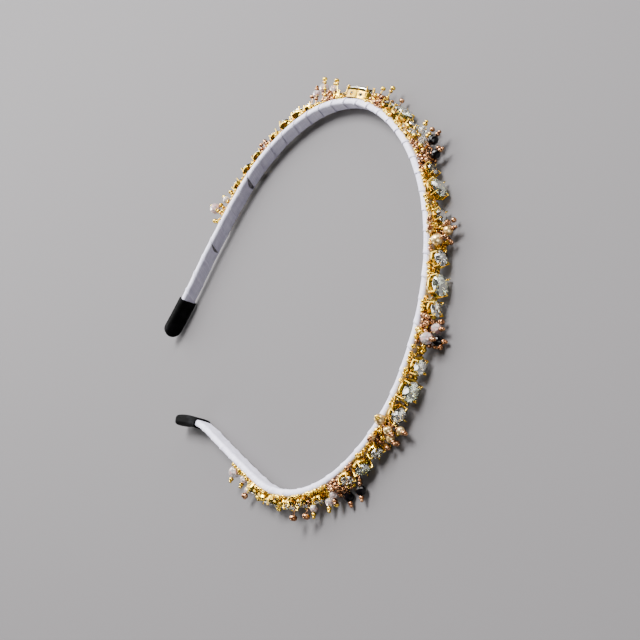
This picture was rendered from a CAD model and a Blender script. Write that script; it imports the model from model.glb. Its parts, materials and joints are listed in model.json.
# %% [markdown]
# # A beaded headband
# A narrow springy band is wound with satin ribbon and capped in black at both tips. Along its outer face
# runs a row of cut crystals in gold claw cups, and between them stand beads on wire stalks with small seed
# beads. It lies on its side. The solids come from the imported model, which is the fixed frame, and this
# script adds the ribbon, the seed beads, the wire loops, the threads and every finish.

# %% Load the frame
import json
from math import cos, floor, hypot, pi, radians, sin
import random
import bmesh
import bpy
from mathutils import Matrix, Vector


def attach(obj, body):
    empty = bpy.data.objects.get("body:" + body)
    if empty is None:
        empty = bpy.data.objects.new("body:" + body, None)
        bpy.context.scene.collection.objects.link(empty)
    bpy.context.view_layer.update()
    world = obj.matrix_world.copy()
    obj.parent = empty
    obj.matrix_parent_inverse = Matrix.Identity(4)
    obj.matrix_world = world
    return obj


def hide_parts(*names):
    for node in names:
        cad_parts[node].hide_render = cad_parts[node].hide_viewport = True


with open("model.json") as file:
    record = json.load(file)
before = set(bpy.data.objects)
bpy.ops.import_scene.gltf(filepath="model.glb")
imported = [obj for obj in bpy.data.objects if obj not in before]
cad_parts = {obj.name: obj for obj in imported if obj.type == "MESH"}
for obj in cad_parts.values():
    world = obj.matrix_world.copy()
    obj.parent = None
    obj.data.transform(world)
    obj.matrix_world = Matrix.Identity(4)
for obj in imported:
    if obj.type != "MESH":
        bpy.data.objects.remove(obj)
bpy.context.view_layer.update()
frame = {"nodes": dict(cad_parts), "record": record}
print("nodes in the frame:", len(frame["nodes"]))

# %% [markdown]
# ## The camera and the light
# The camera looks down at the headband from beyond its crown, turned so far on its own axis that the
# floor's upward direction points to the left of the picture. It could be aimed with a constraint, but three
# readable numbers (place, target and roll) do the same and leave nothing live in the file.

# %% Camera
camera_at = Vector((0.212, 0.2758, 0.2316))
camera_target = Vector((0.0083, 0.008, 0.0))
camera_roll = radians(-71.1)
focal_px = 1299.1
picture_px = 640

camera_data = bpy.data.cameras.new("camera")
camera_data.sensor_width = 36
camera_data.lens = focal_px / picture_px * camera_data.sensor_width
camera_data.clip_start = 0.01
camera = bpy.data.objects.new("camera", camera_data)
aim = (camera_target - camera_at).to_track_quat("-Z", "Y").to_matrix()
camera.matrix_world = Matrix.Translation(camera_at) @ (aim @ Matrix.Rotation(camera_roll, 3, "Z")).to_4x4()
bpy.context.scene.collection.objects.link(camera)
bpy.context.scene.camera = camera
print("lens", round(camera_data.lens, 2), "mm")

# %% [markdown]
# Cut stones and polished metal show their surroundings, so the light is a set of soft boxes with darker
# room between them: a strong one overhead and one from the far side, which whiten the band's upper edge,
# and two warm ones beyond the crown and the tip. None faces the inner side of the band, which stays in
# soft shade. A white card in front gives the facets something bright to show, and is hidden from matt
# surfaces, so it doesn't fill that shade.

# %% Lights
def soft_box(name, place, target, size, watts, tint=(1, 1, 1), only_reflected=False):
    """Adds a square area light that faces a target, or a card that is only seen in reflections."""
    lamp = bpy.data.lights.new(name, "AREA")
    lamp.size = size
    lamp.energy = watts
    lamp.color = tint
    box = bpy.data.objects.new(name, lamp)
    turn = (Vector(target) - Vector(place)).to_track_quat("-Z", "Y").to_matrix().to_4x4()
    box.matrix_world = Matrix.Translation(place) @ turn
    box.visible_diffuse = not only_reflected
    bpy.context.scene.collection.objects.link(box)


# Name, place, target and side in metres, power in watts, tint
warm_white = (1, 0.97, 0.93)
soft_box("overhead", (-0.4, 0.15, 0.8), (0, 0, 0), 0.45, 31)
soft_box("far_side", (-0.6, -0.6, 0.5), (0, 0, 0), 0.9, 19)
soft_box("stone_side", (-0.55, 0.7, 0.3), (0, 0.05, 0), 0.35, 4.5, warm_white)
soft_box("front_card", (0.6, 0.5, 0.3), (0.03, 0.03, 0), 0.5, 3.6, only_reflected=True)
soft_box("tip_side", (0.35, -0.75, 0.25), (0.03, -0.05, 0), 0.3, 2.5, warm_white)

studio = bpy.data.worlds.new("studio")
studio.use_nodes = True
walls = studio.node_tree.nodes["Background"]
walls.inputs["Color"].default_value = (0.52, 0.5, 0.53, 1)
walls.inputs["Strength"].default_value = 0.12
bpy.context.scene.world = studio
print("lights:", [lamp.name for lamp in bpy.data.lights])

# %% [markdown]
# ## Shader maths
# A finish is a Principled shader with maths in front of it. Writing each Math node by hand hides the
# thought, so a small class wraps a socket and lets Python's operators add the nodes. The reflected forms
# are there as well, so that a number may stand first, as in 1 - mask.

# %% Value
class Value:
    """A number that varies over a surface. Arithmetic on it adds Math nodes."""

    def __init__(self, finish, socket):
        self.finish = finish
        self.socket = socket

    def math(self, operation, *terms):
        return self.finish.node("ShaderNodeMath", {"operation": operation}, dict(enumerate(terms)))

    def __add__(self, other):
        return self.math("ADD", self, other)

    def __sub__(self, other):
        return self.math("SUBTRACT", self, other)

    def __mul__(self, other):
        return self.math("MULTIPLY", self, other)

    def __rsub__(self, other):
        return self.math("SUBTRACT", other, self)

    __radd__ = __add__
    __rmul__ = __mul__

    def sine(self):
        return self.math("SINE", self)


print("Value adds nodes for sums, differences, products and sines")

# %% [markdown]
# The second class holds one material. Any other node comes from its one method, which takes the node's
# type, its settings and its inputs, and the few nodes that most finishes share have a short name.

# %% Finish
class Finish:
    """One material: a Principled shader, and the nodes that vary its sockets."""

    def __init__(self, name, **constants):
        self.material = bpy.data.materials.new(name)
        self.material.use_nodes = True
        self.tree = self.material.node_tree
        self.shader = self.tree.nodes["Principled BSDF"]
        for socket, number in constants.items():
            self.shader.inputs[socket.replace("_", " ")].default_value = number

    def feed(self, socket, value):
        """Gives a socket a link, a colour or a plain value."""
        if isinstance(value, Value):
            self.tree.links.new(value.socket, socket)
        elif isinstance(value, tuple) and len(value) == 3 and len(socket.default_value) == 4:
            socket.default_value = (*value, 1)
        else:
            socket.default_value = value

    def node(self, kind, settings, sockets, output=0):
        """Adds any node: its type, its settings, and the values or links of its sockets."""
        node = self.tree.nodes.new(kind)
        for setting, value in settings.items():
            setattr(node, setting, value)
        for key, value in sockets.items():
            self.feed(node.inputs[key], value)
        return Value(self, node.outputs[output])

    def place(self):
        """Object coordinates, in millimetres."""
        where = self.node("ShaderNodeTexCoord", {}, {}, "Object")
        return self.node("ShaderNodeVectorMath", {"operation": "SCALE"}, {0: where, "Scale": 1000.0})

    def noise(self, where, scale, detail=3.0, roughness=0.5):
        """Cloudy noise, mostly between 0.3 and 0.7."""
        sockets = {"Vector": where, "Scale": scale, "Detail": detail, "Roughness": roughness}
        return self.node("ShaderNodeTexNoise", {}, sockets, "Fac")

    def spread(self, value, low, high, to_low=0.0, to_high=1.0):
        """Stretches the range from low to high over a new one, and holds what lies outside at its ends."""
        sockets = {"Value": value, "From Min": low, "From Max": high, "To Min": to_low, "To Max": to_high}
        return self.node("ShaderNodeMapRange", {}, sockets)

    def blend(self, factor, first, second):
        """A mix of two colours."""
        return self.node("ShaderNodeMix", {"data_type": "RGBA"}, {0: factor, 6: first, 7: second}, 2)

    def bump(self, height, strength, distance_mm):
        """Fine relief, for the Normal socket."""
        sockets = {"Height": height, "Strength": strength, "Distance": distance_mm / 1000}
        return self.node("ShaderNodeBump", {}, sockets, "Normal")

    def show(self, **sockets):
        """Feeds the shader's own sockets, and gives back the finished material."""
        for socket, value in sockets.items():
            self.feed(self.shader.inputs[socket.replace("_", " ")], value)
        return self.material


print("Finish is ready")

# %% [markdown]
# ## The finishes
# The gold cups are thinly plated brass: bright, a little uneven in colour, with fine polishing marks that
# break up the reflections. The copper-coloured wire and seeds are the same recipe with a redder tone.

# %% Metals
def plated(name, light, deep, rough_low, rough_high):
    """A plated metal with patchy tone and fine polishing marks."""
    finish = Finish(name, Metallic=1.0)
    where = finish.place()
    patches = finish.noise(where, 0.9, 4.0)
    marks = finish.noise(where, 7.0, 5.0, 0.7)
    tone = finish.spread(patches, 0.35, 0.65)
    return finish.show(
        Base_Color=finish.blend(tone, light, deep),
        Roughness=finish.spread(patches * 0.6 + marks * 0.4, 0.35, 0.65, rough_low, rough_high),
        Normal=finish.bump(marks, 0.35, 0.05))


gold = plated("gold_plate", (1.0, 0.72, 0.09), (0.6, 0.35, 0.03), rough_low=0.07, rough_high=0.22)
copper = plated("copper_wire", (0.62, 0.34, 0.17), (0.2, 0.08, 0.03), rough_low=0.1, rough_high=0.28)
deep_gold = plated("deep_gold", (0.72, 0.46, 0.05), (0.4, 0.23, 0.02), rough_low=0.1, rough_high=0.28)
print("metals:", gold.name, copper.name, deep_gold.name)

# %% [markdown]
# Cut crystal is glass of a high index with a silver foil behind it, so each facet throws back its own share
# of light: one is white, the next nearly black. Tracing that foil would need a second skin inside every
# stone. The facet's own direction does the same, because it is one number for the whole of a flat facet: a
# wave through it gives each facet its brightness. The larger stones have a faint green tint. The milky
# beads are cut too, so the same recipe does for them, with a cream and a pink and with less to see through
# them. Clear and black beads only vary a little in tint and skin.

# %% Glass
def glass(name, light, deep, index, through, rough, patch_scale=0.5, **constants):
    """Glass whose tint and skin vary a little."""
    finish = Finish(name, IOR=index, Transmission_Weight=through, **constants)
    patches = finish.noise(finish.place(), patch_scale, 3.0)
    tone = finish.spread(patches, 0.35, 0.65)
    return finish.show(
        Base_Color=finish.blend(tone, light, deep),
        Roughness=finish.spread(patches, 0.35, 0.65, rough, rough * 1.8 + 0.005))


facet_waves = (17, 23, 31)


def cut_glass(name, light, deep, index, through, shine, rough):
    """Cut glass: every facet has its own brightness, and with shine its own foil."""
    finish = Finish(name, IOR=index, Transmission_Weight=through)
    facing = finish.node("ShaderNodeNewGeometry", {}, {}, "True Normal")
    sockets = {0: facing, 1: facet_waves}
    along = finish.node("ShaderNodeVectorMath", {"operation": "DOT_PRODUCT"}, sockets, "Value")
    flash = finish.spread(along.sine(), -0.9, 0.1)
    cloud = finish.noise(finish.place(), 0.5, 3.0)
    return finish.show(
        Base_Color=finish.blend(flash, deep, light),
        Metallic=flash * shine,
        Roughness=finish.spread(cloud, 0.35, 0.65, rough, rough * 3))


clear_crystal = cut_glass("clear_crystal", (1.0, 1.0, 0.95), (0.42, 0.43, 0.38),
                          index=1.9, through=1.0, shine=0.6, rough=0.006)
sea_crystal = cut_glass("sea_green_crystal", (0.97, 1.0, 0.9), (0.36, 0.44, 0.31),
                        index=1.9, through=1.0, shine=0.6, rough=0.006)
milky_bead = cut_glass("milky_bead", (1.0, 0.95, 0.92), (0.62, 0.36, 0.36),
                       index=1.6, through=0.3, shine=0.6, rough=0.03)
clear_bead = glass("clear_bead", (0.95, 0.97, 0.96), (0.88, 0.92, 0.91),
                   index=1.52, through=0.9, rough=0.03)
black_bead = glass("black_bead", (0.001, 0.001, 0.001), (0.004, 0.003, 0.004),
                   index=1.4, through=0.0, rough=0.03, patch_scale=0.8, Specular_IOR_Level=0.35)
print("glass:", clear_crystal.name, sea_crystal.name, milky_bead.name, clear_bead.name, black_bead.name)

# %% [markdown]
# A pearl's lacquer is warm in the middle and glossy on top, with a soft mottling. A cap is matt black with
# the fine grain of a flocked sleeve, a little greyer where it has been rubbed.

# %% Pearl and cap
pearl = Finish("champagne_pearl", Coat_Weight=0.6, Coat_Roughness=0.05, Metallic=0.8)
mottling = pearl.noise(pearl.place(), 1.2, 4.0)
pearl.show(
    Base_Color=pearl.blend(pearl.spread(mottling, 0.35, 0.65), (0.9, 0.65, 0.3), (0.6, 0.39, 0.14)),
    Roughness=pearl.spread(mottling, 0.3, 0.7, 0.22, 0.38))

cap = Finish("flocked_cap", Specular_IOR_Level=0.03)
grain = cap.noise(cap.place(), 9.0, 5.0, 0.7)
rubbed = cap.spread(cap.noise(cap.place(), 0.35, 3.0), 0.5, 0.75)
cap.show(
    Base_Color=cap.blend(rubbed, (0.002, 0.002, 0.002), (0.007, 0.007, 0.008)),
    Roughness=cap.spread(grain, 0.3, 0.7, 0.62, 0.85),
    Normal=cap.bump(grain, 0.5, 0.12))
print("pearl and cap are ready")

# %% [markdown]
# Satin shows long threads that run the length of the ribbon, so its pattern is drawn in the ribbon's own UV
# map, in millimetres: U along the ribbon and V across it. Threads are lines along U, gathered in faint
# streaks. The woven edge is darker in some places and catches the light in others. Tiny pulls and wrinkles
# break up the gloss.

# %% Satin
satin = Finish("satin_ribbon", Sheen_Weight=0.15, Sheen_Roughness=0.35, Specular_IOR_Level=0.5)
strip = satin.node("ShaderNodeUVMap", {"uv_map": "ribbon"}, {}, "UV")
along_strip = satin.node("ShaderNodeSeparateXYZ", {}, {0: strip}, "X")
across_strip = satin.node("ShaderNodeSeparateXYZ", {}, {0: strip}, "Y")
streak_place = satin.node("ShaderNodeCombineXYZ", {}, {0: along_strip * 0.06, 1: across_strip * 3.0})
streaks = satin.noise(streak_place, 1.0, 4.0, 0.6)
thread_pitch = 0.16
threads = (across_strip * (2 * pi / thread_pitch)).sine()
pull_place = satin.node("ShaderNodeCombineXYZ", {}, {0: along_strip * 0.9, 1: across_strip * 0.35})
pulls = satin.noise(pull_place, 0.7, 3.0)
streaky = satin.spread(streaks * 0.5 + pulls * 0.5, 0.35, 0.65)
tone = satin.blend(streaky, (0.8, 0.78, 0.93), (0.54, 0.52, 0.67))
selvage_width = 0.35
selvage = 1 - satin.spread(across_strip, 0.0, selvage_width)
caught = satin.spread(satin.noise(along_strip * 0.05, 1.0, 1.0), 0.45, 0.6)
edge_tone = satin.blend(caught, (0.3, 0.29, 0.4), (1.0, 0.98, 1.0))
satin.show(
    Base_Color=satin.blend(selvage * 0.4, tone, edge_tone),
    Roughness=satin.spread(streaks, 0.3, 0.7, 0.3, 0.5),
    Normal=satin.bump(threads * 0.12 + streaks * 0.6 + pulls * 1.2, 0.5, 0.08))
print("satin has", len(satin.tree.nodes), "nodes")

# %% [markdown]
# The strip under the ribbon is dull dark steel, which the plated recipe gives with dark tones. The sewing
# thread is matt and off-white, a little darker where it twists away from the light.

# %% Steel and thread
core_steel = plated("core_steel", (0.16, 0.15, 0.16), (0.07, 0.065, 0.07), rough_low=0.45, rough_high=0.6)
thread_finish = Finish("sewing_thread", Sheen_Weight=0.3)
twist = thread_finish.noise(thread_finish.place(), 6.0, 3.0)
thread_finish.show(
    Base_Color=thread_finish.blend(twist, (0.86, 0.84, 0.8), (0.66, 0.63, 0.58)),
    Roughness=thread_finish.spread(twist, 0.3, 0.7, 0.5, 0.7))
print("steel and thread are ready")

# %% [markdown]
# ## The parts that stay
# The cups, stones, beads, stalks and caps already have the right shape, so they keep their solids and only
# get their finish, by the record's own material slots. The large stones take the green glass, and the
# marquise cup a deeper gold. The band's own solid is replaced further down by the wound ribbon, so the
# steel that it gets here never shows.

# %% Dress the solids
finish_of_slot = {
    "cap": cap.material, "gold": gold, "crystal": clear_crystal, "black_glass": black_bead,
    "pearl": pearl.material, "frosted_glass": milky_bead, "clear_glass": clear_bead, "wire": copper,
    "ribbon": core_steel}
sea_green_nodes = ["crystal_02", "crystal_06", "crystal_09", "crystal_12", "crystal_15", "marquise_crystal"]
finish_of_node = {node: sea_crystal for node in sea_green_nodes}
finish_of_node["marquise_cup"] = deep_gold
for subpart in frame["record"]["subparts"]:
    node = subpart["node"]
    finish = finish_of_node.get(node, finish_of_slot[subpart["material_slot"]])
    frame["nodes"][node].material_slots[0].material = finish

# %% [markdown]
# ## Places along the band
# The band is a chain of tangent arcs from the middle of the crown to each tip, the same chain as the
# solids'. A place on it is an arc length in millimetres, positive on leg A and negative on leg B, with a
# height out from the band's middle line and a height up from it. Everything below is built in millimetres
# with these helpers.

# %% The band's curve
arcs_a = [(74, 42), (50, 41), (60, 38), (224, 9), (-160, 7.5)]
arcs_b = [(74, 42), (50, 41), (43, 53), (900, 2.25), (-44, 27.3)]
footprint_middle = Vector((0.5, -64.2, -3.8))
band_w = 4.8
band_t = 1.8
band_corner = 0.6


def spot(s):
    """Place and heading at arc length s; the heading is 0 along +X and grows clockwise."""
    left = abs(s)
    x = y = heading = 0.0
    arcs = arcs_a if s >= 0 else arcs_b
    for number, (radius, angle) in enumerate(arcs):
        run = abs(radius) * radians(angle)
        step = left if number == len(arcs) - 1 else min(left, run)
        turned = heading + step / radius
        x += radius * (sin(turned) - sin(heading))
        y += radius * (cos(turned) - cos(heading))
        heading = turned
        left -= step
        if left <= 0:
            break
    return (-x, y, -heading) if s >= 0 else (x, y, heading)


def point_at(s, out, up):
    """A point on the band, in millimetres in the frame of the solids."""
    x, y, heading = spot(s)
    return Vector((x + out * sin(heading), y + out * cos(heading), up)) - footprint_middle


def length_of(arcs):
    return sum(abs(radius) * radians(angle) for radius, angle in arcs)


tip_a = length_of(arcs_a)
tip_b = -length_of(arcs_b)
print("band from", round(tip_b, 1), "to", round(tip_a, 1), "mm")

# %% [markdown]
# A piece is built in a bmesh in millimetres. One function turns it into an object: it scales it to metres,
# gives it its finish, and tells the frame which body it rides on and which of the record's finishes it has.

# %% Hand over a piece
def add_piece(bm, name, finish):
    """Makes a smooth-shaded piece of a bmesh in millimetres, and frees the bmesh."""
    bmesh.ops.transform(bm, matrix=Matrix.Scale(0.001, 4), verts=bm.verts)
    mesh = bpy.data.meshes.new(name)
    bm.to_mesh(mesh)
    bm.free()
    mesh.materials.append(finish)
    mesh.polygons.foreach_set("use_smooth", [True] * len(mesh.polygons))
    piece = bpy.data.objects.new(name, mesh)
    bpy.context.scene.collection.objects.link(piece)
    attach(piece, "root")
    print(name, len(mesh.polygons), "faces")
    return piece


# %% [markdown]
# ## The ribbon
# The band's section is a flat bar with rounded corners. The ribbon and the steel strip both follow it, so
# one function walks round it: along a flat, round a corner, and so on, by the distance gone.

# %% The section's outline
flat_w = band_w - 2 * band_corner
flat_t = band_t - 2 * band_corner
corner_run = band_corner * pi / 2
girth = 2 * (flat_w + flat_t) + 4 * corner_run


def around(distance, grow):
    """A point (out, up) on the band's section, a distance along its outline, grown outwards by grow.
    It starts in the middle of the inner face and runs down it first."""
    left = distance % girth
    out, up = -band_t / 2, 0.0
    direction = -90.0
    for run in (flat_w / 2, flat_t, flat_w, flat_t, flat_w / 2):
        step = min(left, run)
        out += step * cos(radians(direction))
        up += step * sin(radians(direction))
        left -= step
        if left <= 0:
            break
        bend = min(left, corner_run) / band_corner
        side = radians(direction)
        centre = (out - band_corner * sin(side), up + band_corner * cos(side))
        swung = side - pi / 2 + bend
        out = centre[0] + band_corner * cos(swung)
        up = centre[1] + band_corner * sin(swung)
        direction += 90 * bend / (pi / 2)
        left -= bend * band_corner
        if left <= 0:
            break
    normal = radians(direction - 90)
    return out + grow * cos(normal), up + grow * sin(normal)


print("girth", round(girth, 2), "mm")

# %% [markdown]
# On the real band one long ribbon is wound around a steel strip in a spiral, each turn lapping the last. A
# smooth tube with painted lines would lose the laps' raised edges and the slits where a turn has slipped,
# so the ribbon is modelled as itself: a long flat grid, bent round the section turn by turn, and given its
# thickness by a modifier. Its ends run into the caps.

# %% How the turns lie
ribbon_width = 7.7
ribbon_t = 0.14
pitch = 6.9
lap = ribbon_width - pitch
seam_at = 123.6
wrinkle_height = 0.035
near_edge_rise = 0.07
tip_room = 5
first_turn = floor((tip_b + tip_room - seam_at) / pitch)
last_turn = floor((tip_a - tip_room - seam_at) / pitch)
# Slips of the near edge: place on the band, middle of the slip round the girth, half its length, its width
slips = [(123.6, 0.2, 3.6, 2.3), (150.9, 0.0, 3.2, 2.0), (119.4, 2.7, 1.1, 1.8), (137.4, 2.7, 1.2, 2.0),
         (106.0, 2.6, 1.1, 1.8), (-160.5, 0.6, 1.4, 1.6)]
sway = random.Random(4)
turn_sway = {turn: sway.uniform(-0.35, 0.35) for turn in range(first_turn - 1, last_turn + 3)}


def ribbon_point(run, across):
    """Bends a point of the flat ribbon round the band: run along the ribbon, across from its near edge."""
    turns = run / girth
    whole = int(turns // 1)
    drift = turn_sway[whole] * (1 - turns % 1) + turn_sway[whole + 1] * (turns % 1)
    near = 1 - across / ribbon_width
    s = seam_at + pitch * turns + drift * 0.6
    # In a slip the near edge is drawn back, most in its middle
    for place, middle, half, width in slips:
        away = abs((run - middle + girth / 2) % girth - girth / 2)
        if abs(s - place) < pitch / 2 and away < half:
            across += width * near * (0.5 + 0.5 * cos(pi * away / half)) ** 0.6
    # On the lap a turn lies one thickness higher, and shallow wrinkles run across it
    lifted = max(0.0, min(1.0, (lap + 0.25 - across) / 0.5))
    wrinkle = wrinkle_height * sin(run * 1.3 + whole * 1.7) * sin(across * 0.9 + whole)
    tilt = near_edge_rise * (1 - across / ribbon_width)
    out, up = around(run, ribbon_t * lifted + tilt + wrinkle)
    return point_at(s + across, out, up)


turns_laid = last_turn - first_turn
print(turns_laid, "turns of ribbon, with a lap of", round(lap, 2), "mm")

# %% [markdown]
# The UV map is taken while the grid is still flat, so that the satin's threads follow every turn. Only
# then is each point bent round the band.

# %% Wind the ribbon
steps_a_turn = 34
bm = bmesh.new()
uv = bm.loops.layers.uv.new("ribbon")
bmesh.ops.create_grid(bm, x_segments=turns_laid * steps_a_turn, y_segments=10, size=0.5)
for vert in bm.verts:
    vert.co.x = (first_turn + turns_laid * (vert.co.x + 0.5)) * girth
    vert.co.y = (vert.co.y + 0.5) * ribbon_width
for face in bm.faces:
    for loop in face.loops:
        loop[uv].uv = loop.vert.co.xy
for vert in bm.verts:
    vert.co = ribbon_point(vert.co.x, vert.co.y)
ribbon = add_piece(bm, "wound_ribbon", satin.material)
thickness = ribbon.modifiers.new("thickness", "SOLIDIFY")
thickness.thickness = ribbon_t / 1000 * 0.9
thickness.offset = -1
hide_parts("ribbon_band")

# %% [markdown]
# Under the ribbon lies the dark steel strip, which shows only in the slits. It is the band's section, a
# little smaller, extruded a short step at a time and turned with the band's heading.

# %% The steel strip
strip_corners = 24
strip_inset = 0.16
stations = 240
strip_from = tip_b + tip_room
strip_run = tip_a - tip_b - 2 * tip_room
bm = bmesh.new()
core = [bm.verts.new(point_at(strip_from, *around(girth * k / strip_corners, -strip_inset)))
        for k in range(strip_corners)]
ring = [bm.edges.new((core[k], core[(k + 1) % strip_corners])) for k in range(strip_corners)]
bm.faces.new(core)
for station in range(stations):
    grown = bmesh.ops.extrude_edge_only(bm, edges=ring)["geom"]
    ring = [item for item in grown if isinstance(item, bmesh.types.BMEdge)]
    ends = [item for item in grown if isinstance(item, bmesh.types.BMVert)]
    from_x, from_y, from_heading = spot(strip_from + strip_run * station / stations)
    to_x, to_y, to_heading = spot(strip_from + strip_run * (station + 1) / stations)
    start = Vector((from_x, from_y, 0)) - footprint_middle
    move = Vector((to_x - from_x, to_y - from_y, 0))
    bmesh.ops.rotate(bm, verts=ends, cent=start, matrix=Matrix.Rotation(from_heading - to_heading, 3, "Z"))
    bmesh.ops.translate(bm, verts=ends, vec=move)
bmesh.ops.contextual_create(bm, geom=ring)
bmesh.ops.recalc_face_normals(bm, faces=bm.faces)
add_piece(bm, "steel_strip", core_steel)

# %% [markdown]
# ## The stones' and beads' places
# The seed beads and threads have to find the cups and beads, so their places are repeated here from the
# part's own values.

# %% Stones and beads
# Round stones: place, how far to one side from -1 to 1, diameter, turn about its own axis in degrees
stones = [
    (45.4, 0.2, 4.0, 10), (37.6, 0.1, 6.0, 0), (31.6, -0.9, 3.8, 30), (27, 1, 3.2, 0),
    (11.4, -0.4, 4.0, 15), (3.8, -0.2, 6.0, 5), (-4.8, -0.4, 4.2, 0), (-17.8, 0, 4.8, 20),
    (-25.5, -0.1, 6.2, 0), (-31.9, -0.6, 4.6, 12), (-47.8, -0.3, 4.6, 12), (-54.6, 0, 6.0, 0),
    (-61.4, 0.2, 5.0, 28), (-73.6, -0.4, 4.0, 6), (-79.6, -0.2, 5.0, 18), (-85.2, 0.6, 4.0, 0),
    (-104.4, 0.2, 3.8, 15), (73.3, 0.2, 3.2, 0), (88.2, 0.2, 3.8, 0), (93.8, 0.2, 5.2, 0),
    (100.2, 0.1, 5.2, 20), (106, 0.3, 4.2, 0), (116, 0.2, 4.8, 5), (122.2, -0.1, 5.4, 25),
    (128.6, 0.4, 4.6, 0), (-98.3, -0.4, 3.8, 0), (-109.4, 0.7, 4.0, 12), (-114.2, -0.6, 3.8, 0),
    (-118.9, 0.2, 4.0, 30), (-124.4, -0.8, 4.4, 0), (-129.9, 0.5, 4.2, 22)]
# Drilled beads: place, height out, height up, diameter, place of the stalk's foot, colour of the end seeds
beads = [
    (18.9, 8, 0.3, 3.3, 18.4, "copper"), (14.6, 6.6, -0.2, 3.0, 15.2, "copper"),
    (-39.9, 6.2, -2.1, 3.2, -39.9, "copper"), (-83.6, 8, -1.6, 3.2, -82, "copper"),
    (-88.7, 6.4, -2.2, 3.2, -88.9, "copper"), (-10.2, 6.2, -0.6, 3.0, -10, "copper"),
    (-12.8, 3.9, 1.5, 3.6, -12.8, "copper"), (-10, 2.4, 3.0, 2.3, -10, "copper"),
    (-64.6, 2.2, 3.9, 3.2, -65.4, "gold"), (-66, 4.4, 1.2, 2.8, -66, "copper"),
    (-64.2, 7.2, -0.4, 2.4, -65.4, "copper"), (-67.8, 4.8, -0.8, 2.6, -67.8, "copper"),
    (-70.2, 2.2, 3.0, 2.2, -70.2, "copper"), (-7.4, 2.5, 3.1, 2.0, -7.4, "copper"),
    (-37, 5.3, -1.0, 3.2, -37, "copper"), (-40.2, 5.5, 1.6, 3.6, -40.2, "copper"),
    (25.4, 6.2, 0.2, 2.6, 23.8, "gold"), (21.8, 4.6, 0.2, 3.4, 21.8, "gold"),
    (141, 8.8, 1.8, 4.0, 140, "gold"), (135.6, 5.6, 1.4, 2.6, 135.6, "gold"),
    (81.4, 7.6, 1, 3.4, 81, "copper"), (76.2, 5.4, 0.8, 3.3, 76.2, "gold"),
    (84.9, 6.9, 0.9, 2.7, 84.9, "copper"), (-91.9, 4.4, 0, 2.7, -91.9, "copper"),
    (-95.2, 5, -1.2, 2.6, -94.6, "gold"), (-101, 5.2, -0.6, 2.4, -101, "gold"),
    (-143.8, 3.9, 0.4, 4.0, -143.8, "gold"), (-137.4, 3.4, 0.4, 2.6, -137.4, "gold"),
    (-134, 5.4, -0.4, 2.6, -134, "copper")]
print(len(stones), "round stones and", len(beads), "drilled beads")

# %% [markdown]
# A cup stands on the band's outer face, leans towards its side and is turned about its own axis. Its axes
# are worked out as in the part, so that a thread finds the holes in its sides.

# %% The cups' axes
# The part's own values for a cup: wall, gap to the stone, most lean in degrees, the decoration's half
# width, the foot as a part of the rim, how far out the claws reach, and their height for a stone's radius
cup_wall = 0.3
gap = 0.12
lean_max = 10
deco_half_w = 3.8
foot_part = 0.62
claws_out = 0.58
claw_low, claw_slope = 1.584, 0.929


def band_frame(s):
    """Local Z out from the band, Y up from the floor and X back along the band, as the stones are set."""
    x, y, heading = spot(s)
    axes = Matrix(((-cos(heading), 0, sin(heading)), (sin(heading), 0, cos(heading)), (0, 1, 0)))
    return Matrix.Translation(Vector((x, y, 0)) - footprint_middle) @ axes.to_4x4()


def cup_frame(stone):
    """A cup's own axes: it leans towards its side, its foot just clear of the band."""
    s, across, diameter, turn = stone
    lean = radians(lean_max * across)
    rim = diameter / 2 + gap + cup_wall
    claw_top = claw_low + diameter / 2 * claw_slope
    room = (diameter / 2 + claws_out) * cos(lean) + claw_top * sin(abs(lean))
    up = across * max(0, deco_half_w - room)
    lift = band_t / 2 + gap + rim * foot_part * sin(abs(lean))
    return (band_frame(s) @ Matrix.Translation((0, up, lift)) @ Matrix.Rotation(-lean, 4, "X")
            @ Matrix.Rotation(radians(turn), 4, "Z"))


# A cup's axes, and its rim's radius
cups = [(cup_frame(stone), stone[2] / 2 + gap + cup_wall) for stone in stones]
print("the first cup stands at", [round(c, 1) for c in cups[0][0].translation], "mm")

# %% [markdown]
# No seed may sit in a cup, a stone or a bead. Testing against the solids' own faces would be slow, so each
# round cup is taken as a cone with a straight rim, the marquise cup as a row of seven such cones, and each
# bead as a ball.

# %% What is in the way
# The room that a cup takes: middle, way into its axes, rim and height
cup_spaces = [(place @ Vector((0, 0, 2.5)), place.inverted(), rim, rim * 1.9 + 1) for place, rim in cups]
marquise_at = 63.4
marquise_top = 5.6
for shift, rim in ((-6, 1.0), (-4, 2.0), (-2, 2.9), (0, 3.2), (2, 2.9), (4, 2.0), (6, 1.0)):
    place = marquise_at + shift
    cup_spaces.append((point_at(place, 3.4, 0), band_frame(place).inverted(), rim, marquise_top))
bead_spaces = [(point_at(*bead[:3]), bead[3] / 2) for bead in beads]
too_far_squared = 40
shoulder_z = 1.6
skin = 0.1


def blocked(point, room):
    """Whether a small ball at the point would cut into a cup, a stone or a bead."""
    for centre, inverse, rim, top in cup_spaces:
        if (point - centre).length_squared > too_far_squared:
            continue
        local = inverse @ point
        wall = rim * (foot_part + (1 - foot_part) * min(1, max(0, local.z) / shoulder_z)) + skin
        if local.z < top and hypot(local.x, local.y) < wall + room:
            return True
    return any((point - centre).length < radius + room for centre, radius in bead_spaces)


print("a point in a cup is blocked:", blocked(point_at(stones[1][0], 2, 0), 0.1))

# %% [markdown]
# ## Seed beads
# Seed beads are tiny rings of metal-lined glass, a millimetre and a half across, threaded on the wire.
# There are hundreds, so each has only a few dozen faces: a six-sided circle spun about the hole. Copies of
# that one mesh are joined into one piece for each colour.

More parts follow.
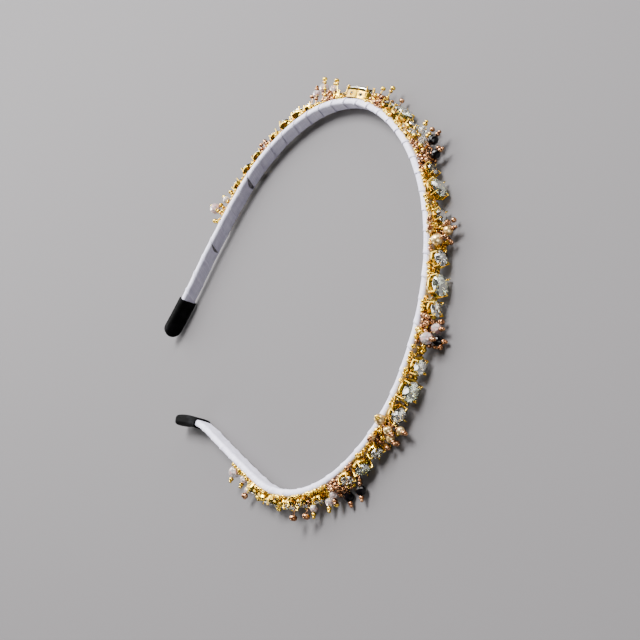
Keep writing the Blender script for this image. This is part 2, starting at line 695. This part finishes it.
# %% One seed bead
seed_wall = 0.34
seed_ring = 0.42
seed_stretch = 1.5
seed = bmesh.new()
bmesh.ops.create_circle(seed, segments=6, radius=seed_wall)
bmesh.ops.rotate(seed, verts=seed.verts, matrix=Matrix.Rotation(pi / 2, 3, "X"))
bmesh.ops.scale(seed, verts=seed.verts, vec=(1, 1, seed_stretch))
bmesh.ops.translate(seed, verts=seed.verts, vec=(seed_ring, 0, 0))
bmesh.ops.spin(seed, geom=seed.verts[:] + seed.edges[:], axis=(0, 0, 1), cent=(0, 0, 0), angle=2 * pi,
               steps=9, use_merge=True)
bmesh.ops.recalc_face_normals(seed, faces=seed.faces)
seed_mesh = bpy.data.meshes.new("seed_bead")
seed.to_mesh(seed_mesh)
print("a seed bead has", len(seed.faces), "faces")
seed.free()

# %% [markdown]
# Every seed's place is first kept in a list. One helper stands a seed with its hole along the wire, and
# another refuses a place that is in a cup or bead, too low, or too near another seed.

# %% Places for seeds
seeds = {"copper": [], "gold": []}
wires = {"copper": [], "gold": []}
filled = {}
nearest = 1.2
lowest = 0.6
chance = random.Random(11)


def towards(point, direction, size):
    """A matrix that stands a bead at the point with its hole along the direction."""
    return Matrix.LocRotScale(point, direction.to_track_quat("Z", "Y"), Vector((size, size, size)))


def crowded(point):
    """Whether another seed is too near. Seeds are filed by millimetre cell, so few are looked at."""
    column, row, layer = (round(c) for c in point)
    near = [(column + i, row + j, layer + k) for i in (-1, 0, 1) for j in (-1, 0, 1) for k in (-1, 0, 1)]
    return any((point - other).length < nearest for cell in near for other in filled.get(cell, ()))


def put_seed(kind, point, direction, size, room):
    """Adds a seed unless it would sit in something."""
    if point.z > lowest and not crowded(point) and not blocked(point, room):
        filled.setdefault(tuple(round(c) for c in point), []).append(point)
        seeds[kind].append(towards(point, direction, size))


# %% [markdown]
# Every wire stalk ends in two small seeds that keep its bead on, and a long stalk has a few more below the
# bead.

# %% Seeds on the stalks
most_up = band_w / 2 - band_corner
first_off = 0.55
second_off = 1.45
stack_step = 1.1
foot_out = band_t / 2 + 0.25
for s, out, up, diameter, foot_s, kind in beads:
    foot = point_at(foot_s, foot_out, max(-most_up, min(most_up, up)))
    middle = point_at(s, out, up)
    run = middle - foot
    direction = run.normalized()
    seeds[kind].append(towards(middle + direction * (diameter / 2 + first_off), direction, 1.05))
    seeds[kind].append(towards(middle + direction * (diameter / 2 + second_off), direction, 0.75))
    below = run.length - diameter / 2 - first_off
    while below > 0.5:
        put_seed(kind, foot + direction * below, direction, 0.95, 0.0)
        below -= stack_step
print("stalk seeds:", {kind: len(places) for kind, places in seeds.items()})

# %% [markdown]
# The glittering tangle between the stones is made of arches: a wire rises from the band, carries a row of
# seeds and goes back down a little further on. One helper gives the points of such an arch, and another
# threads seeds on it.

# %% One arch
arch_steps = 8
seed_spacing = 1.4
threaded_room = 0.28


def arch_path(s, up, span, rise, swerve):
    """Points of an arch that stands on the band across the middle at (s, up)."""
    path = []
    for step in range(arch_steps + 1):
        swing = pi * step / arch_steps
        out = band_t / 2 + 0.1 + rise * sin(swing)
        path.append(point_at(s - span / 2 * cos(swing), out, up + swerve * sin(swing)))
    return path


def thread_seeds(kind, path, size):
    """Puts seeds along a path, one spacing apart."""
    left = seed_spacing / 2
    for start, end in zip(path, path[1:]):
        run = (end - start).length
        while left < run:
            put_seed(kind, start.lerp(end, left / run), end - start, size, threaded_room)
            left += seed_spacing
        left -= run


print("an arch has", len(arch_path(0, 0, 2, 2, 0)), "points")

# %% [markdown]
# Drawing each arch by hand would take hundreds of numbers, so the script walks along the band in three
# rows. At every step it tries an arch, from the highest to the lowest, and keeps the first that clears the
# cups and beads. Where the real band has its wild clusters the arches are higher, and a share of them is
# copper.

# %% Arches along the band
# Wild clusters: where one starts and ends, and the share of its arches that are copper
clusters = [(-17, -6, 0.4), (-42, -34, 0.7), (-72, -62, 0.4), (-92, -81, 0.8), (12, 24, 0.8), (47, 54, 0.9),
            (75, 79, 0.7), (110, 113, 0.9)]
rises_in_cluster = (3.6, 2.7, 1.9, 1.2, 0.8)
rises_in_middle = (2.2, 1.6, 1.0)
rises_at_edge = (0.7, 0.5)
row_up = 1.7
arch_step = 1.4
arch_room = 0.3
arch_lowest = 0.5
first_s, last_s = -143, 144


def copper_share(s):
    return sum(part for low, high, part in clusters if low < s < high)


s = first_s
while s < last_s:
    share = copper_share(s)
    for side in (-1, 0, 1):
        rises = rises_in_cluster if share else rises_at_edge if side else rises_in_middle
        kind = "copper" if chance.random() < share else "gold"
        up = side * row_up + chance.uniform(-0.25, 0.25)
        for rise in rises:
            rise *= chance.uniform(0.85, 1.1)
            path = arch_path(s + chance.uniform(-0.3, 0.3), up, chance.uniform(1.2, 2.2), rise,
                             side * chance.uniform(0, 0.8) + chance.uniform(-0.5, 0.5))
            if not any(blocked(point, arch_room) or point.z < arch_lowest for point in path[1:-1]):
                wires[kind].append(path)
                thread_seeds(kind, path, chance.uniform(0.85, 1.2))
                break
    s += arch_step
print("arches:", {kind: len(paths) for kind, paths in wires.items()})
print("seeds:", {kind: len(places) for kind, places in seeds.items()})

# %% [markdown]
# Single beads and seeds also stand out on twisted hairpins of wire, with a few seeds stacked below the top
# one. These are placed one by one, because they make the outline that the eye knows the headband by.

# %% Hairpins
pin_room = 0.2
pin_step = 1.05


def add_hairpin(kind, s, out, up, foot_s, size=1.15):
    """A seed at the top of a hairpin of wire, and a stack of smaller ones below it."""
    top = point_at(s, out, up)
    foot_up = max(-row_up, min(row_up, up))
    feet = [point_at(foot_s + side * 0.15, band_t / 2, foot_up) for side in (-1, 1)]
    wires[kind].append([feet[0], feet[0].lerp(top, 0.6), top, feet[1].lerp(top, 0.6), feet[1]])
    down = (feet[0] + feet[1]) / 2 - top
    put_seed(kind, top, down, size, pin_room)
    step = 1.2
    while step < down.length - 0.4:
        put_seed(kind, top + down.normalized() * step, down, 0.85, pin_room)
        step += pin_step


# Kind, place, height out, height up, place of the foot and sometimes the size of the top seed
hairpins = [
    ("gold", 144.4, 6.0, 1.2, 143.4), ("gold", 138.6, 7.4, 1.2, 138.2), ("gold", 132.6, 6.2, 1.0, 132.8),
    ("copper", 111.6, 6.4, 0.8, 111.6), ("gold", 78.6, 9.0, 3.4, 78.8), ("gold", 73.8, 7.6, 2.4, 71.6),
    ("copper", 87.2, 7.0, 0.8, 87), ("gold", 51.6, 6.8, 0.8, 51.6), ("gold", 47.8, 8.4, 0.4, 48.6),
    ("copper", 43, 6.6, -1.2, 42.2), ("copper", 23.2, 8.6, -0.8, 22.6), ("copper", 17, 7.4, -1.6, 17),
    ("copper", -7.4, 7.6, -1.6, -8.2), ("copper", -9, 7.8, 1.0, -9), ("copper", -13.6, 6.6, -1.2, -14),
    ("copper", -35, 6.4, -1.6, -35.2), ("copper", -41.4, 7.4, -2.4, -42), ("copper", -64.6, 6.0, -2.6, -65),
    ("copper", -67.6, 7.4, -1.6, -68), ("copper", -70, 6.2, -0.6, -70.2),
    ("gold", -92.2, 7.2, -0.8, -93.2), ("copper", -102.8, 7.4, 0.6, -101.2, 1.7),
    ("copper", -107.4, 7.4, 1.2, -106.9, 1.7), ("gold", -116.6, 5.0, -0.6, -116.6),
    ("gold", -127.2, 4.6, 0.0, -127.2), ("copper", -134.4, 7.6, -0.4, -134.4, 1.5)]
for hairpin in hairpins:
    add_hairpin(*hairpin)
print("seeds with hairpins:", {kind: len(places) for kind, places in seeds.items()})

# %% [markdown]
# Last, small seeds are sewn flat on the ribbon wherever it still shows between the cups. The script offers
# one every millimetre in four rows, and the test for crowding keeps those that find room.

# %% Seeds on the ribbon
low_out = band_t / 2 + 0.6
low_rows = (-1.6, -0.5, 0.6, 1.7)
for s in range(first_s, last_s):
    kind = "copper" if copper_share(s) > 0.5 else "gold"
    for up in low_rows:
        middle = point_at(s, low_out, up)
        put_seed(kind, middle, point_at(s + 1, low_out, up) - middle, 0.8, 0.15)
print("all seeds:", {kind: len(places) for kind, places in seeds.items()})

# %% [markdown]
# Now the one seed is copied to every place in the lists. Each colour's copies are joined into one mesh,
# because hundreds of objects would be slow to handle.

# %% Join the seeds
for kind, finish, slot in (("copper", copper, "wire"), ("gold", gold, "gold")):
    bm = bmesh.new()
    for place in seeds[kind]:
        before = len(bm.verts)
        bm.from_mesh(seed_mesh)
        bm.verts.ensure_lookup_table()
        bmesh.ops.transform(bm, matrix=place, verts=bm.verts[before:])
    add_piece(bm, kind + "_seeds", finish)
bpy.data.meshes.remove(seed_mesh)

# %% [markdown]
# ## Wire and thread
# The loops are thin wire in the colour of their seeds, and four thicker copper arches stand close together
# on leg A. A curve with a round bevel is the easiest tube, and it is made a mesh once it is right, so
# nothing on it stays live. The same is done for the sewing thread, which passes through each cup's side
# holes and down into the ribbon on both sides.

# %% Tubes from paths
def add_tubes(paths, radius, name, finish):
    """Makes one mesh piece of round tubes along smooth paths, all in millimetres."""
    curve = bpy.data.curves.new(name, "CURVE")
    curve.dimensions = "3D"
    curve.bevel_depth = radius
    curve.bevel_resolution = 1
    curve.resolution_u = 3
    curve.use_fill_caps = True
    for path in paths:
        spline = curve.splines.new("BEZIER")
        spline.bezier_points.add(len(path) - 1)
        for knot, point in zip(spline.bezier_points, path):
            knot.co = point
            knot.handle_left_type = knot.handle_right_type = "AUTO"
    holder = bpy.data.objects.new(name, curve)
    bpy.context.scene.collection.objects.link(holder)
    mesh = bpy.data.meshes.new_from_object(holder.evaluated_get(bpy.context.evaluated_depsgraph_get()))
    bpy.data.objects.remove(holder)
    bpy.data.curves.remove(curve)
    bm = bmesh.new()
    bm.from_mesh(mesh)
    bpy.data.meshes.remove(mesh)
    add_piece(bm, name, finish)


wire_r = 0.09
coil_r = 0.24
coil_places = (48.8, 50.3, 51.8, 53.3)
coils = [arch_path(s, up=1.2 - 0.2 * number, span=3.2, rise=2.4, swerve=-0.8)
         for number, s in enumerate(coil_places)]
add_tubes(wires["copper"], wire_r, "copper_wire_loops", copper)
add_tubes(coils, coil_r, "copper_coils", copper)
add_tubes(wires["gold"], wire_r, "gold_wire_loops", gold)

# %% [markdown]
# A stitch is a thread through two facing holes of a cup, half way up its rim, that dips a little in the
# middle under the stone and goes down into the ribbon at both ends.

# %% Stitches
seat_z = 1.02
rim_slope = 0.869 - 0.36
dip_z = 0.7
end_z = -0.2
stitches = []
for place, rim in cups:
    height = (seat_z + (rim - gap - cup_wall) * rim_slope) * 0.5
    end = rim + 0.3
    hole = rim * 0.8
    stitches.append([place @ Vector(point) for point in (
        (-end, 0, end_z), (-hole, 0, height), (0, 0, dip_z), (hole, 0, height), (end, 0, end_z))])
add_tubes(stitches, wire_r, "sewing_thread", thread_finish.material)

# %% [markdown]
# ## The floor, and the last checks
# A plain pale floor belongs to the stage, not to the object. Its grey is set by eye for this strong light.

# %% Floor and hand in
bm = bmesh.new()
bmesh.ops.create_grid(bm, x_segments=1, y_segments=1, size=2.5)
ground_mesh = bpy.data.meshes.new("floor")
bm.to_mesh(ground_mesh)
bm.free()
ground = bpy.data.objects.new("floor", ground_mesh)
bpy.context.scene.collection.objects.link(ground)
ground_finish = Finish("pale_floor", Roughness=0.8, Base_Color=(0.11, 0.104, 0.108, 1))
ground_mesh.materials.append(ground_finish.material)
